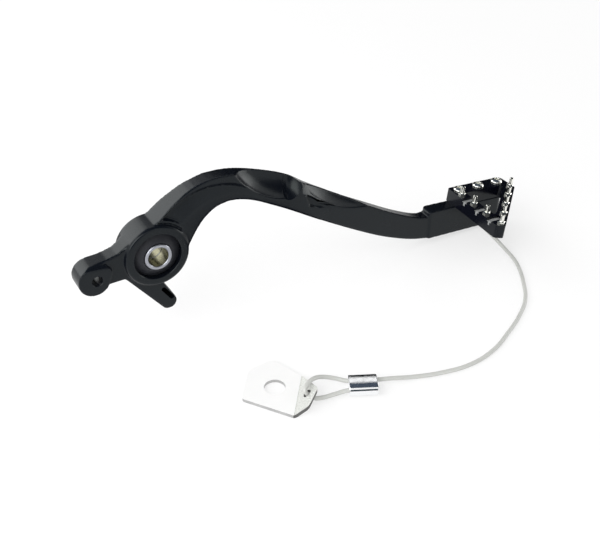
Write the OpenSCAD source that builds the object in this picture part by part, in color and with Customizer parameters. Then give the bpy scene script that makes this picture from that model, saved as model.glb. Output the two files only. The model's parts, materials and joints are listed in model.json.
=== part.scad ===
// Rear brake pedal of an off-road motorcycle: forged arm with needle-bearing hub,
// three-bar tread frame with grip pins, and a wire-rope tether with its bracket.
// The pivot is the origin: +X runs to the tip, +Y into the frame, +Z up.

/* [Hub] */
// Outside diameter of the hub
hub_d = 38; // [36:0.5:42]
// Length of the hub along the pivot
hub_len = 19; // [18:0.5:24]
// Diameter of the seal recess in each hub face
recess_d = 28; // [26:0.5:29]
// Depth of the seal recess in each hub face
recess_depth = 4.5; // [4.2:0.1:6]
// How deep each seal lies below the hub face at its rim
seal_sink = 3.7; // [2:0.1:4]

/* [Pivot bearing] */
// Bore of the pivot sleeves
pivot_bore_d = 12; // [10:0.5:13]
// Outside diameter of the pivot sleeves
sleeve_d = 16; // [15:0.25:17]
// How far each sleeve stands out of the hub
sleeve_proud = 0.4; // [0.2:0.1:1.5]
// Outside diameter of the drawn bearing cup
cup_d = 22; // [21.5:0.25:23]
// Sheet thickness of the bearing cup
cup_wall = 0.9; // [0.6:0.1:1]

/* [Arm] */
// Distance from the pivot to the tread's inner corner
reach = 213; // [195:1:230]
// Drop from the pivot to the tread's seat
drop = 34.5; // [25:0.5:45]
// Thickness of the arm along the pivot
arm_t = 10; // [9:0.5:12]
// How much thinner the blade is than the rest of the arm
blade_relief = 1.5; // [0:0.25:2.5]
// Depth of the long pocket in the arm's outer face
pocket_depth = 3; // [1:0.25:3.5]
// Radius of the scoop's round section
scoop_r = 16; // [14:0.5:18]
// Height of the foot under the tread
foot_h = 20; // [17:0.5:24]

/* [Pushrod ear] */
// Distance from the pivot back to the pushrod hole
ear_back = 35.5; // [32:0.5:40]
// Drop from the pivot to the pushrod hole
ear_drop = 4; // [1:0.5:8]
// Diameter of the round ear
ear_d = 18; // [15:0.5:20]
// Thickness of the ear
ear_t = 13; // [10:0.5:15]
// Diameter of the pushrod hole
ear_hole_d = 6; // [5:0.5:8]
// Height of the pad round the pushrod hole
ear_pad = 2.5; // [1:0.5:4]

/* [Lug] */
// Width of the slotted lug's round end
lug_w = 9.6; // [8:0.2:11]
// Thickness of the slotted lug
lug_t = 11; // [8:0.5:13]
// Width of the slot in the lug
lug_slot_w = 2.6; // [1.5:0.1:3]

/* [Tread frame] */
// Length of the bar that is screwed to the arm
seat_bar_len = 45.5; // [42:0.5:52]
// Length of the bar that runs outwards
out_bar_len = 53; // [48:0.5:60]
// Thickness of the tread frame
tread_t = 9; // [7:0.5:11]
// Width of the bar on the arm
seat_bar_w = 10.3; // [9.5:0.1:12]
// Width of the outward bar
out_bar_w = 7.8; // [7:0.1:9]
// Width of the slanted bar
slant_bar_w = 7.6; // [7:0.1:8.5]
// Downward pitch of the tread towards the front
tread_pitch = 5.5; // [0:0.5:10]
// Depth of the cross notches in the outward bar
notch_depth = 1.5; // [0.5:0.1:2.5]

/* [Fasteners] */
// Thread diameter of the tread screws
screw_d = 4; // [3:0.5:5]
// Head diameter of the tread screws
screw_head_d = 7.8; // [7:0.1:9]
// Head height of the tread screws
screw_head_h = 2.2; // [1.5:0.1:3]
// Thread diameter of the grip pins
pin_thread_d = 2.6; // [2:0.1:3]
// Width of a grip pin's hexagon across its corners
pin_hex_d = 4.9; // [4:0.1:5.5]
// Diameter of a grip pin's post
pin_post_d = 2.7; // [2.2:0.1:3.2]
// Height of a grip pin above the tread
pin_h = 6.3; // [4:0.1:8]

/* [Tether] */
// Diameter of the covered wire rope
rope_d = 2.5; // [2:0.1:2.8]
// Length of the crimp ferrule
ferrule_len = 16; // [13:0.5:18]
// Width of the crimp ferrule
ferrule_w = 13.6; // [12:0.1:15]
// Height of the crimp ferrule
ferrule_h = 7.8; // [6:0.1:8.4]
// Sheet thickness of the bracket
bracket_t = 2; // [1.5:0.1:2.5]
// Diameter of the bolt hole in the bracket
bracket_hole_d = 12; // [8:0.5:14]
// Diameter of the eye that the loop runs through
eye_d = 5; // [4.5:0.1:6]
// Angle that the bracket's tongue is bent up
tongue_angle = 40; // [30:1:55]

/* [Hidden] */
$fn = 64;

black = [0.10, 0.11, 0.13];
steel = [0.80, 0.81, 0.82];
rubber = [0.05, 0.05, 0.05];

// Clearances: between pieces of one body, of a running fit, and of a seal's lip
fit_gap = 0.05;
run_gap = 0.05;
lip_gap = 0.3;
eps = 0.01;

// Heights that the tether lies on, and the arm's faces along Y
floor_z = -59;
arm_front = -8;
arm_rear = arm_front + arm_t;
blade_rear = arm_rear - blade_relief;
blade_front = arm_front + 0.5;
hub_r = hub_d / 2;

// Bearing sizes that follow from the sleeve and the cup
cup_len = hub_len - 2 * recess_depth;
cup_inner_r = cup_d / 2 - cup_wall;
needle_d = cup_inner_r - sleeve_d / 2 - 2 * run_gap;
needle_ring_r = sleeve_d / 2 + run_gap + needle_d / 2;
needle_count = floor(360 / (2 * asin(needle_d / 2 / needle_ring_r)) - 0.5);

// Places that follow the reach and the drop
tread_at = [reach - 0.6, arm_rear + 0.8, -drop];
ear_at = [-ear_back, -ear_drop];
ear_mid = ear_at - [1.5, 0];

// Arm stations from the hub to the foot: upper edge, then lower edge, each [x, z],
// drawn for this reach and drop and stretched with them
drawn_tread = [213, 34.5];
upper_edge = [
    [-2, 17], [5, 22.5], [13, 29], [22, 34.3], [34, 37.5], [46, 37.3], [57, 34.8],
    [68, 31], [79, 26.5], [89, 21.3], [99, 14], [111, 6.3], [126, -3], [143, -13],
    [160, -23], [175, -30.8], [184, -34.5], [190.2, -35.9]
];
lower_edge = [
    [17, -4], [20.5, 2], [25, 9], [30, 14.8], [37, 19.5], [45, 21], [53, 19.8],
    [62, 16.3], [72, 10.6], [82.5, 4.3], [93, -2.5], [104, -9.7], [118, -18.5],
    [135, -28.7], [152, -38.2], [168, -45.6], [180, -50.1], [190, -52.6]
];
rear_edge = [
    [-5, 8], [8, 6.4], [16, 4], [26, 2.6], [44, 2]
];

// Tether route on the floor and round the loop, [x, y, z]
rope_lay = floor_z + rope_d / 2;
rope_exit = [225, arm_front, -44.5];
rope_route = [
    [225, 7, -44.5], [225, -2, -44.5], [225, -9, -44.6], [225.6, -16, -45.6],
    [227.6, -24, -48.6], [230, -33, -52.8], [231.2, -42, -56.3], [230, -51.5, -57.6],
    [226, -61, rope_lay], [218, -74, rope_lay], [207, -88, rope_lay],
    [193, -98.4, rope_lay], [176, -107.6, rope_lay], [158, -115.4, rope_lay],
    [139, -118.4, rope_lay], [120, -115.6, rope_lay], [103, -110.4, -57.2],
    [93, -107.6, -55.6], [84, -104.3, -55.1], [69.4, -97, -55.1],
    [64.5, -92.2, -54.7], [59, -89.3, -53.4], [52.6, -90, -50.8],
    [46.6, -92.8, -49.7], [43.2, -95.2, -51], [44.3, -96.8, -53.6],
    [47, -98.6, -55.9], [51.5, -100, -56.6], [58, -101.6, -56],
    [65.4, -103.6, -55.1], [76, -108.9, -55.1]
];
ferrule_at = [75, -104, floor_z + ferrule_h / 2];
ferrule_turn = -26.5;
strand_apart = 7.8;

// The bracket's own corner on its bend line, and its turn about Z
bracket_at = [31.6, -103.2];
bracket_turn = -38;
bend_r = 1.5;
eye_along = 6;
eye_side = 12.9;
bracket_outline = [
    [0, -0.5, 2], [-29.5, 8.5, 2], [-30, 32, 9], [-18, 42.5, 5],
    [1, 30.5, 3], [11.4, 13, 4], [8, 1.5, 3]
];

function mix(a, b, f) = a + (b - a) * f;
function unit(v) = v / norm(v);

// Smooth curve through points, with n steps between neighbours
function spline(p, n) = concat(
    [for (i = [0 : len(p) - 2], k = [0 : n - 1]) spline_at(p, i, k / n)],
    [p[len(p) - 1]]
);
function spline_at(p, i, t) =
    let (
        a = p[max(i - 1, 0)],
        b = p[i],
        c = p[i + 1],
        d = p[min(i + 2, len(p) - 1)]
    )
    0.5 * (2 * b + (c - a) * t + (2 * a - 5 * b + 4 * c - d) * t * t
        + (3 * b - a - 3 * c + d) * t * t * t);

// Corners given as [x, y, radius], each rounded by an arc of n steps
function rounded(p, n = 5) = [
    for (i = [0 : len(p) - 1])
        let (
            here = [p[i][0], p[i][1]],
            last = p[(i + len(p) - 1) % len(p)],
            next = p[(i + 1) % len(p)],
            back = unit([last[0], last[1]] - here),
            ahead = unit([next[0], next[1]] - here),
            half = acos(back * ahead) / 2,
            centre = here + unit(back + ahead) * p[i][2] / sin(half),
            from = here + back * p[i][2] / tan(half) - centre,
            to = here + ahead * p[i][2] / tan(half) - centre,
            sweep = 180 - 2 * half,
            side = sign(from[0] * to[1] - from[1] * to[0])
        )
        for (k = [0 : n])
            let (a = side * sweep * k / n)
            centre + [from[0] * cos(a) - from[1] * sin(a), from[0] * sin(a) + from[1] * cos(a)]
];

// A point of the arm's drawing, moved with the reach and the drop
function along(p) = [
    p[0] * reach / drawn_tread[0],
    p[1] - (drop - drawn_tread[1]) * max(p[0], 0) / drawn_tread[0]
];
// A point of the tread's own plane, [u, w], as [x, z] of the pedal
function foot_point(u, w) = [
    tread_at[0] + u * cos(tread_pitch) + w * sin(tread_pitch),
    tread_at[2] - u * sin(tread_pitch) + w * cos(tread_pitch)
];

upper = spline([for (p = upper_edge) along(p)], 3);
lower = spline([for (p = lower_edge) along(p)], 3);

// Tread plan in its own plane: u along the arm, v outwards
slant_start = [seat_bar_len, 16.3];
slant_end = [2.4, out_bar_len + 3];
slant_dir = unit(slant_end - slant_start);
slant_in = [-slant_dir[1], slant_dir[0]];
out_lean = -2.6 / 53;
tread_plan = [
    [0, 0, 1], [seat_bar_len, 0, 3.5], [slant_start[0], slant_start[1], 2],
    [slant_end[0], slant_end[1], 1.9], [out_lean * out_bar_len, out_bar_len, 1.9]
];
window_plan = [
    [out_bar_w - 0.5, seat_bar_w, 1],
    [seat_bar_len - 8.5, seat_bar_w, 1],
    slant_window(3.2, 1),
    slant_window(41, 1.5),
    [out_bar_w + out_lean * out_bar_len * 0.8, 41.5, 1]
];
function slant_window(d, r) =
    let (p = slant_start + slant_dir * d + slant_in * slant_bar_w)
    [p[0], p[1], r];

// Pin places on the tread: three on the outward bar, five on the slanted one
pin_inset = 3.2;
pin_places = concat(
    [for (k = [0 : 2]) let (v = 11.6 + 13.3 * k) [out_lean * v + pin_inset + 0.1, v]],
    [for (k = [0 : 4]) slant_start + slant_dir * (0.4 + 13.9 * k) + slant_in * pin_inset]
);
screw_places = [for (k = [0 : 2]) [5.7 + (seat_bar_len - 12.7) / 2 * k, arm_t / 2]];
notch_places = [for (k = [0 : 2]) 19 + 13.2 * k];
notch_w = 4.4;

module on_tread() {
    translate(tread_at)
        rotate([0, tread_pitch, 0])
            mirror([0, 1, 0])
                children();
}

// Extrudes a drawing made in X and Z along Y, from y0 to y1
module side_plate(y0, y1) {
    translate([0, y1, 0])
        rotate([90, 0, 0])
            linear_extrude(y1 - y0)
                children();
}

module bore_along_y(d, y0, y1) {
    translate([0, y0, 0])
        rotate([-90, 0, 0])
            cylinder(d = d, h = y1 - y0);
}

module arm_outline() {
    polygon(concat(
        upper,
        [foot_point(-21.9, -1.2), foot_point(-21.3, -0.35), foot_point(-20, 0)],
        [foot_point(41, 0), foot_point(42.2, -1.2), foot_point(42.2, 4 - foot_h)],
        [foot_point(39, -foot_h), foot_point(-18, -foot_h - 0.8)],
        [for (i = [len(lower) - 1 : -1 : 0]) lower[i]]
    ));
}

// Plan of the arm: the inner face swells to the hub, and the foot stands a little
// proud of the blade's outer face
module arm_plan() {
    foot_end = foot_point(42.2, -8)[0];
    polygon(concat(
        [[-5, arm_front]],
        [for (p = rear_edge) [p[0], p[1] - 2 + arm_rear]],
        [along([100, 0]) * [[1, 0], [0, 0]] + [0, arm_rear]],
        [[along([125, 0])[0], blade_rear], [along([186, 0])[0], blade_rear]],
        [[along([194, 0])[0], arm_rear], [foot_end, arm_rear], [foot_end, arm_front + 3]],
        [[foot_end - 0.9, arm_front + 0.9], [foot_end - 3, arm_front]],
        [[along([192, 0])[0], arm_front], [along([190.6, 0])[0], blade_front]],
        [[along([112, 0])[0], blade_front], [along([100, 0])[0], arm_front]]
    ));
}

module arm_blank() {
    intersection() {
        side_plate(-12, 12)
            arm_outline();
        translate([0, 0, -90])
            linear_extrude(160)
                arm_plan();
    }
}

// Rounds the inner upright corner of the foot where it steps up from the blade
module foot_corner() {
    r = 4;
    step = foot_point(-21.9, -1.2);
    translate([step[0] - 1, arm_rear - r, step[1] - 2.2])
        difference() {
            cube([r + 1, r + 1, 6]);
            translate([r + 1, 0, -1])
                cylinder(r = r, h = 8);
        }
}

// Hub with well rounded rims
module hub() {
    half = hub_len / 2;
    rotate([-90, 0, 0])
        rotate_extrude($fn = 96)
            polygon([
                [0, -half], [hub_r - 1.5, -half], [hub_r - 0.4, 0.4 - half],
                [hub_r, 1.5 - half], [hub_r, half - 2], [hub_r - 2, half], [0, half]
            ]);
}

// Neck and round ear behind the hub, with the raised pad round the pushrod hole
module ear() {
    ear_front = arm_front - 1;
    ear_r = ear_d / 2;
    side_plate(ear_front + ear_pad, ear_front + ear_t)
        polygon([
            [-6, 16], [-13, 13.5], [-17.5, 9.8], [-22, 7], [-28, ear_mid[1] + ear_r + 0.6],
            [ear_mid[0], ear_mid[1] + ear_r], [ear_mid[0], ear_mid[1]], [-32, -10.6],
            [-26, -10.3], [-6, -10.3]
        ]);
    translate([ear_mid[0], 0, ear_mid[1]])
        bore_along_y(ear_d, ear_front, ear_front + ear_t);
    translate([ear_mid[0] + 3.6, 0, ear_mid[1] + ear_r - 6.6])
        bore_along_y(13.2, ear_front, ear_front + ear_pad + 1);
    side_plate(ear_front, ear_front + ear_pad + 1)
        polygon([
            [ear_mid[0], ear_mid[1] + ear_r], [ear_mid[0] + 3.6, ear_mid[1] + ear_r],
            [ear_mid[0] + 3.6, ear_mid[1] + ear_r - 13], [ear_mid[0], ear_mid[1] - ear_r]
        ]);
}

// Long chamfer that flattens the pad's upper edge
module ear_chamfer() {
    back = arm_front - 1.02 + ear_pad;
    translate([ear_mid[0] - 10, 0, ear_mid[1] + 8.35])
        rotate([0, 7, 0])
            rotate([90, 0, 90])
                linear_extrude(20.6)
                    polygon([[back - 3.5, -0.9], [back, 2.2], [back, 9], [back - 3.5, 9]]);
}

// Slotted lug below the hub, tapering to a round end
lug_end = [4.7, -34.8];
lug_front = -6.5;
module lug() {
    side_plate(lug_front, lug_front + lug_t) {
        polygon([
            [-20.2, -9], lug_end + lug_w / 2 * [-0.784, -0.62],
            lug_end + lug_w / 2 * [0.85, 0.53], [1.8, -19], [-1, -5]
        ]);
        translate(lug_end)
            circle(d = lug_w);
    }
}

// Slot near the lug's front edge, closed by a thin wall at the back
module lug_slot() {
    side_plate(-20, lug_front + lug_t - 2)
        translate([4.3, -28.4])
            rotate(-57)
                union() {
                    square([8.4, lug_slot_w], center = true);
                    for (s = [-1, 1])
                        translate([4.2 * s, 0])
                            circle(d = lug_slot_w);
                }
}

// Torus section that hollows the arm's upper outer edge: its lower rim is an arc
// of rim_r round a centre above the arm, drawn from one angle over a sweep
module edge_hollow(centre, rim_r, first, sweep) {
    place = along(centre);
    translate([place[0], 0, place[1]])
        rotate([90, 0, 0])
            rotate([0, 0, first])
                rotate_extrude(angle = sweep, $fn = 96)
                    translate([rim_r - 14.5, 6.7 - arm_front])
                        circle(r = scoop_r);
}

// Deep scoop behind the bend, closed by a curved wall at its front end
module scoop() {
    edge_hollow([95, 62], 52, -165, 63.5);
    place = along([95, 62]);
    translate([place[0], 0, place[1]])
        rotate([90, 0, 0])
            rotate([0, 0, -101.6])
                translate([52 - 14.5, 0, 6.7 - arm_front])
                    rotate([-90, 0, 0]) {
                        cylinder(r1 = scoop_r, r2 = scoop_r - 1.2, h = 3, $fn = 96);
                        cylinder(r1 = scoop_r - 0.2, r2 = scoop_r - 6, h = 6, $fn = 96);
                    }
}

// Flatter hollow that starts in front of that wall and runs out along the blade
module blade_bevel() {
    intersection() {
        edge_hollow([149, 57.5], 70, -150, 65);
        translate([along([94, 0])[0], -40, -60])
            cube([60, 80, 120]);
    }
}

// Small triangular pocket between the ridges under the bevel, its floor tilted
// so that it is deepest at the top
module ridge_pocket() {
    low = along([118, -7.8])[1];
    translate([0, arm_front, low])
        rotate([-11, 0, 0])
            side_plate(-8, 0)
                translate([0, -low])
                    polygon(rounded([
                        concat(along([95.6, 10.5]), 0.5), concat(along([98.6, 1]), 1),
                        concat(along([119, -8]), 0.4)
                    ], 3));
}

// Pocket in the outer face of the bend: its floor is a cone that is deepest under
// the upper edge, and its tilt lets it run out away from the hub
module side_pocket() {
    centre = along([15.4, -7.6]);
    face = -arm_front;
    difference() {
        translate([centre[0], 0, centre[1]])
            rotate([0, 0, -3])
                translate([20, 0, 0])
                    rotate([90, 0, 0])
                        rotate([0, 0, 30])
                            rotate_extrude(angle = 120, $fn = 128)
                                polygon([
                                    [29, face + 3], [29, face], [40.4, face - pocket_depth],
                                    [42, face + 0.2], [42, face + 3]
                                ]);
        bore_along_y(hub_d + 5.4, -hub_len, hub_len);
    }
}

// Groove between the hub and the lip that closes that pocket
module hub_groove() {
    rotate([90, 0, 0])
        rotate([0, 0, 35])
            rotate_extrude(angle = 62, $fn = 96)
                polygon([
                    [hub_r - 1, -arm_front - 1.6], [hub_r + 0.6, -arm_front - 1.6],
                    [hub_r + 1.9, -arm_front + 1], [hub_r - 1, -arm_front + 1]
                ]);
}

// Narrow flute above the lower edge of the bend
module bend_flute() {
    centre = along([45, -1]);
    translate([centre[0], 0, centre[1]])
        rotate([90, 0, 0])
            union() {
                rotate([0, 0, 56])
                    rotate_extrude(angle = 44, $fn = 96)
                        translate([25.6, -arm_front + 1.9])
                            circle(r = 2.9, $fn = 48);
                for (a = [56, 100])
                    rotate([0, 0, a])
                        translate([25.6, 0, -arm_front + 1.9])
                            sphere(r = 2.9, $fn = 48);
            }
}

module pedal_arm() {
    color(black)
        difference() {
            union() {
                difference() {
                    arm_blank();
                    scoop();
                    blade_bevel();
                    ridge_pocket();
                    side_pocket();
                    hub_groove();
                    bend_flute();
                    foot_corner();
                }
                hub();
                ear();
                lug();
            }
            bore_along_y(cup_d + 2 * fit_gap, -hub_len, hub_len);
            bore_along_y(recess_d, -hub_len, recess_depth - hub_len / 2);
            bore_along_y(recess_d, hub_len / 2 - recess_depth, hub_len);
            translate([ear_at[0], 0, ear_at[1]])
                bore_along_y(ear_hole_d, -20, 20);
            lug_slot();
            ear_chamfer();
            translate([rope_exit[0], 0, rope_exit[2]])
                bore_along_y(rope_d + 0.8, -20, 20);
            on_tread()
                for (p = screw_places)
                    translate([p[0], p[1], -11])
                        cylinder(d = screw_d + 2 * fit_gap, h = 12, $fn = 32);
        }
}

module tread_frame() {
    color(black)
        on_tread()
            difference() {
                linear_extrude(tread_t)
                    polygon(rounded(tread_plan, 4));
                translate([0, 0, -1])
                    linear_extrude(tread_t + 2)
                        polygon(rounded(window_plan, 3));
                for (p = screw_places)
                    translate([p[0], p[1], -1])
                        cylinder(d = screw_d + 2 * fit_gap, h = tread_t + 2, $fn = 32);
                for (p = pin_places)
                    translate([p[0], p[1], tread_t - 5.5])
                        cylinder(d = pin_thread_d + 2 * fit_gap, h = 6, $fn = 24);
                for (v = notch_places)
                    notch(v);
            }
}

// Notch across the outward bar, with a small round groove down its outer wall
module notch(v) {
    outer = out_lean * v;
    translate([outer - 1, v - notch_w / 2, tread_t - notch_depth])
        cube([out_bar_w + 3, notch_w, notch_depth + 1]);
    translate([outer, v, tread_t - notch_depth - 2.2])
        cylinder(d = 1.6, h = 4, $fn = 24);
}

// Round-head screw: threaded shank, domed head, hexagon socket
module tread_screw(i) {
    dome_r = (pow(screw_head_d / 2, 2) + pow(screw_head_h, 2)) / (2 * screw_head_h);
    color(steel)
        on_tread()
            translate([screw_places[i][0], screw_places[i][1], tread_t])
                difference() {
                    union() {
                        translate([0, 0, -tread_t - 10])
                            cylinder(d = screw_d, h = tread_t + 10 + eps, $fn = 32);
                        intersection() {
                            translate([0, 0, screw_head_h - dome_r])
                                sphere(r = dome_r, $fn = 48);
                            cylinder(d = screw_head_d - 0.2, h = screw_head_h, $fn = 48);
                        }
                    }
                    translate([0, 0, screw_head_h - 1.3])
                        cylinder(d = 2.9, h = 2, $fn = 6);
                }
}

// Screwed-in grip pin: thread, hexagon and hollow post
module grip_pin(i) {
    hex_h = 1.7;
    color(steel)
        on_tread()
            translate([pin_places[i][0], pin_places[i][1], tread_t])
                difference() {
                    union() {
                        translate([0, 0, -5])
                            cylinder(d = pin_thread_d, h = 5 + eps, $fn = 24);
                        cylinder(d = pin_hex_d, h = hex_h, $fn = 6);
                        cylinder(d = pin_post_d, h = pin_h, $fn = 24);
                    }
                    translate([0, 0, pin_h - 2.2])
                        cylinder(d = pin_post_d - 1.1, h = 3, $fn = 24);
                }
}

// One of the two sleeves that meet in the middle of the hub
module pivot_sleeve(side) {
    sleeve_end = hub_len / 2 + sleeve_proud;
    color(steel)
        difference() {
            bore_along_y(sleeve_d, min(0, side * sleeve_end), max(0, side * sleeve_end));
            bore_along_y(pivot_bore_d, -hub_len, hub_len);
        }
}

// Drawn cup with a lip at each end that keeps the needles in
module bearing_cup() {
    lip_r = sleeve_d / 2 + lip_gap;
    color(steel)
        rotate([90, 0, 0])
            rotate_extrude()
                polygon([
                    [cup_d / 2, -cup_len / 2], [cup_d / 2, cup_len / 2],
                    [lip_r, cup_len / 2], [lip_r, cup_len / 2 - cup_wall],
                    [cup_inner_r, cup_len / 2 - cup_wall], [cup_inner_r, cup_wall - cup_len / 2],
                    [lip_r, cup_wall - cup_len / 2], [lip_r, -cup_len / 2]
                ]);
}

module bearing_needles() {
    needle_len = cup_len - 2 * cup_wall - 0.4;
    color(steel)
        for (k = [0 : needle_count - 1])
            rotate([0, 360 * k / needle_count, 0])
                translate([needle_ring_r, 0, 0])
                    rotate([90, 0, 0])
                        cylinder(d = needle_d, h = needle_len, center = true, $fn = 16);
}

// Dished rubber seal: nearly flush where its lip leans on the sleeve, deep at its rim
module lip_seal(side) {
    seal_r = recess_d / 2 - fit_gap;
    inner = cup_len / 2 + fit_gap;
    outer = hub_len / 2;
    lip_r = sleeve_d / 2 + lip_gap;
    color(rubber)
        rotate([side * -90, 0, 0])
            rotate_extrude()
                polygon([
                    [seal_r, inner], [seal_r, outer - seal_sink],
                    [lip_r + 0.9, outer - 0.5], [lip_r, outer - 0.3], [lip_r, outer - 1.4],
                    [lip_r + 1, inner]
                ]);
}

module cable_stop() {
    color(steel)
        translate([rope_exit[0], arm_rear, rope_exit[2]])
            difference() {
                bore_along_y(rope_d + 3.6, 0, 6);
                bore_along_y(rope_d, -1, 7);
            }
}

// Ring of a swept tube: side_dir lies level, up_dir completes the frame
function ring(p, dir, r, sides) =
    let (
        side_dir = unit(cross(dir, [0, 0, 1])),
        up_dir = cross(side_dir, dir)
    )
    [for (k = [0 : sides - 1])
        let (a = 360 * (k + 0.5) / sides)
        p + r * (cos(a) * side_dir + sin(a) * up_dir)];

// Tube of round section along a route
module swept_tube(route, d, steps, sides) {
    path = spline(route, steps);
    last = len(path) - 1;
    rings = [
        for (i = [0 : last])
            ring(path[i], unit(path[min(i + 1, last)] - path[max(i - 1, 0)]), d / 2, sides)
    ];
    points = [for (r = rings) each r];
    walls = [
        for (i = [0 : last - 1], k = [0 : sides - 1])
            let (
                a = i * sides + k,
                b = i * sides + (k + 1) % sides
            )
            each [[a, b + sides, a + sides], [a, b, b + sides]]
    ];
    polyhedron(points, concat(
        walls,
        [[for (k = [sides - 1 : -1 : 0]) k]],
        [[for (k = [0 : sides - 1]) last * sides + k]]
    ));
}

module tether_cable() {
    color([0.85, 0.86, 0.84])
        swept_tube(rope_route, rope_d, 2, 8);
}

// Oval crimp sleeve with one bore for each strand
module tether_ferrule() {
    color(steel)
        translate(ferrule_at)
            rotate([0, 0, ferrule_turn])
                rotate([0, 90, 0])
                    difference() {
                        linear_extrude(ferrule_len, center = true)
                            union() {
                                square([ferrule_h, ferrule_w - ferrule_h], center = true);
                                for (s = [-1, 1])
                                    translate([0, s * (ferrule_w - ferrule_h) / 2])
                                        circle(d = ferrule_h);
                            }
                        for (s = [-1, 1])
                            translate([0, s * strand_apart / 2, 0])
                                cylinder(d = rope_d, h = ferrule_len + 2, center = true, $fn = 32);
                    }
}

// Sheet section of the bracket: flat plate, bend and raised tongue, as [x, z]
function sheet_arc(r, a0, a1) = [
    for (k = [0 : 6])
        let (a = mix(a0, a1, k / 6))
        [r * sin(a), bend_r + bracket_t - r * cos(a)]
];
function tongue_end(r) =
    [r * sin(tongue_angle), bend_r + bracket_t - r * cos(tongue_angle)]
    + 20 * [cos(tongue_angle), sin(tongue_angle)];

module tether_bracket() {
    outer_r = bend_r + bracket_t;
    mid_r = bend_r + bracket_t / 2;
    color(steel)
        translate([bracket_at[0], bracket_at[1], floor_z])
            rotate([0, 0, bracket_turn])
                difference() {
                    intersection() {
                        side_plate(-10, 60)
                            polygon(concat(
                                [[-50, 0]],
                                sheet_arc(outer_r, 0, tongue_angle),
                                [tongue_end(outer_r), tongue_end(bend_r)],
                                sheet_arc(bend_r, tongue_angle, 0),
                                [[-50, bracket_t]]
                            ));
                        translate([0, 0, -1])
                            linear_extrude(30)
                                polygon(rounded(bracket_outline, 4));
                    }
                    translate([-13.3, 20, -5])
                        cylinder(d = bracket_hole_d, h = 20);
                    translate([0, eye_side, outer_r])
                        rotate([0, -tongue_angle, 0])
                            translate([eye_along, 0, -mid_r])
                                cylinder(d = eye_d, h = 8, center = true, $fn = 32);
                }
}

pedal_arm();
tread_frame();
tread_screw(0);  // tread_screw_1
tread_screw(1);  // tread_screw_2
tread_screw(2);  // tread_screw_3
grip_pin(0);  // grip_pin_1
grip_pin(1);  // grip_pin_2
grip_pin(2);  // grip_pin_3
grip_pin(3);  // grip_pin_4
grip_pin(4);  // grip_pin_5
grip_pin(5);  // grip_pin_6
grip_pin(6);  // grip_pin_7
grip_pin(7);  // grip_pin_8
pivot_sleeve(-1);  // pivot_sleeve_outer
pivot_sleeve(1);  // pivot_sleeve_inner
bearing_cup();
bearing_needles();
lip_seal(-1);  // lip_seal_outer
lip_seal(1);  // lip_seal_inner
cable_stop();
tether_cable();
tether_ferrule();
tether_bracket();
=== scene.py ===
import bpy
import bmesh
import json
from math import cos, hypot, pi, radians, sin
from mathutils import Matrix, Vector

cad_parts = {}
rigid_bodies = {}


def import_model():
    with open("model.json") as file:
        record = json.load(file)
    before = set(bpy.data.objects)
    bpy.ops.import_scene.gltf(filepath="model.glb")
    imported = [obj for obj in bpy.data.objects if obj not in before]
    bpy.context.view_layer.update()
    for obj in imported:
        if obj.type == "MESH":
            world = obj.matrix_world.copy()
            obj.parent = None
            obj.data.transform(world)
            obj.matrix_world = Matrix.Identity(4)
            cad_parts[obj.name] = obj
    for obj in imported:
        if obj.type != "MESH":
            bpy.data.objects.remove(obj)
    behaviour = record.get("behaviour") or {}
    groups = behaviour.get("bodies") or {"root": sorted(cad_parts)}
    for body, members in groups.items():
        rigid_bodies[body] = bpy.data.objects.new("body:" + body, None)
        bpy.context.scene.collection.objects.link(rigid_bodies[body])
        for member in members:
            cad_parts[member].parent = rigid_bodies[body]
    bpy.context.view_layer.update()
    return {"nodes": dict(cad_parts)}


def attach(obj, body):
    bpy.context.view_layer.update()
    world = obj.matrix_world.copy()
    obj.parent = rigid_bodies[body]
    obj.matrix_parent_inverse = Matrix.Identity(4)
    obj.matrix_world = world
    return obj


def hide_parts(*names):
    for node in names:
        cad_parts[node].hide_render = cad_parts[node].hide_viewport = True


for leftover in list(bpy.data.objects):
    bpy.data.objects.remove(leftover)
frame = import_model()
nodes = frame["nodes"]
scene = bpy.context.scene
mm = 0.001
print("frame loaded:", len(nodes), "CAD nodes")


# camera, in the place that the photograph was taken from
camera = {
    "place": (-140.6, -403.4, 285.1),  # mm from the pivot
    "right": (0.8625, -0.5060, 0.0),
    "back": (-0.4083, -0.6960, 0.5906),
    "lens": 54.36, "sensor": 36,  # mm
    "clip": (0.01, 20),  # m
}


def placeCamera(c):
    right, back = Vector(c["right"]).normalized(), Vector(c["back"]).normalized()
    up = back.cross(right)
    data = bpy.data.cameras.new("photoCamera")
    data.sensor_fit, data.sensor_width, data.lens = "HORIZONTAL", c["sensor"], c["lens"]
    data.clip_start, data.clip_end = c["clip"]
    view = bpy.data.objects.new("photoCamera", data)
    scene.collection.objects.link(view)
    turn = Matrix((right, up, back)).transposed().to_4x4()
    view.matrix_world = Matrix.Translation(Vector(c["place"]) * mm) @ turn
    scene.camera = view


placeCamera(camera)
print("camera placed")


# what every piece below uses
def newMaterial(name):
    material = bpy.data.materials.new(name)
    material.use_nodes = True
    tree = material.node_tree
    return material, tree, tree.nodes["Principled BSDF"]


def addNode(tree, kind, inputs=(), **settings):
    node = tree.nodes.new(kind)
    for key, value in settings.items():
        setattr(node, key, value)
    for key, value in dict(inputs).items():
        if hasattr(value, "is_linked"):
            tree.links.new(value, node.inputs[key])
        else:
            node.inputs[key].default_value = value
    return node


def noiseOn(tree, source, scale, detail=4, stretch=(1, 1, 1)):
    moved = addNode(tree, "ShaderNodeMapping", {"Vector": source, "Scale": stretch})
    return addNode(
        tree, "ShaderNodeTexNoise",
        {"Vector": moved.outputs["Vector"], "Scale": scale, "Detail": detail},
    ).outputs["Fac"]


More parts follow.
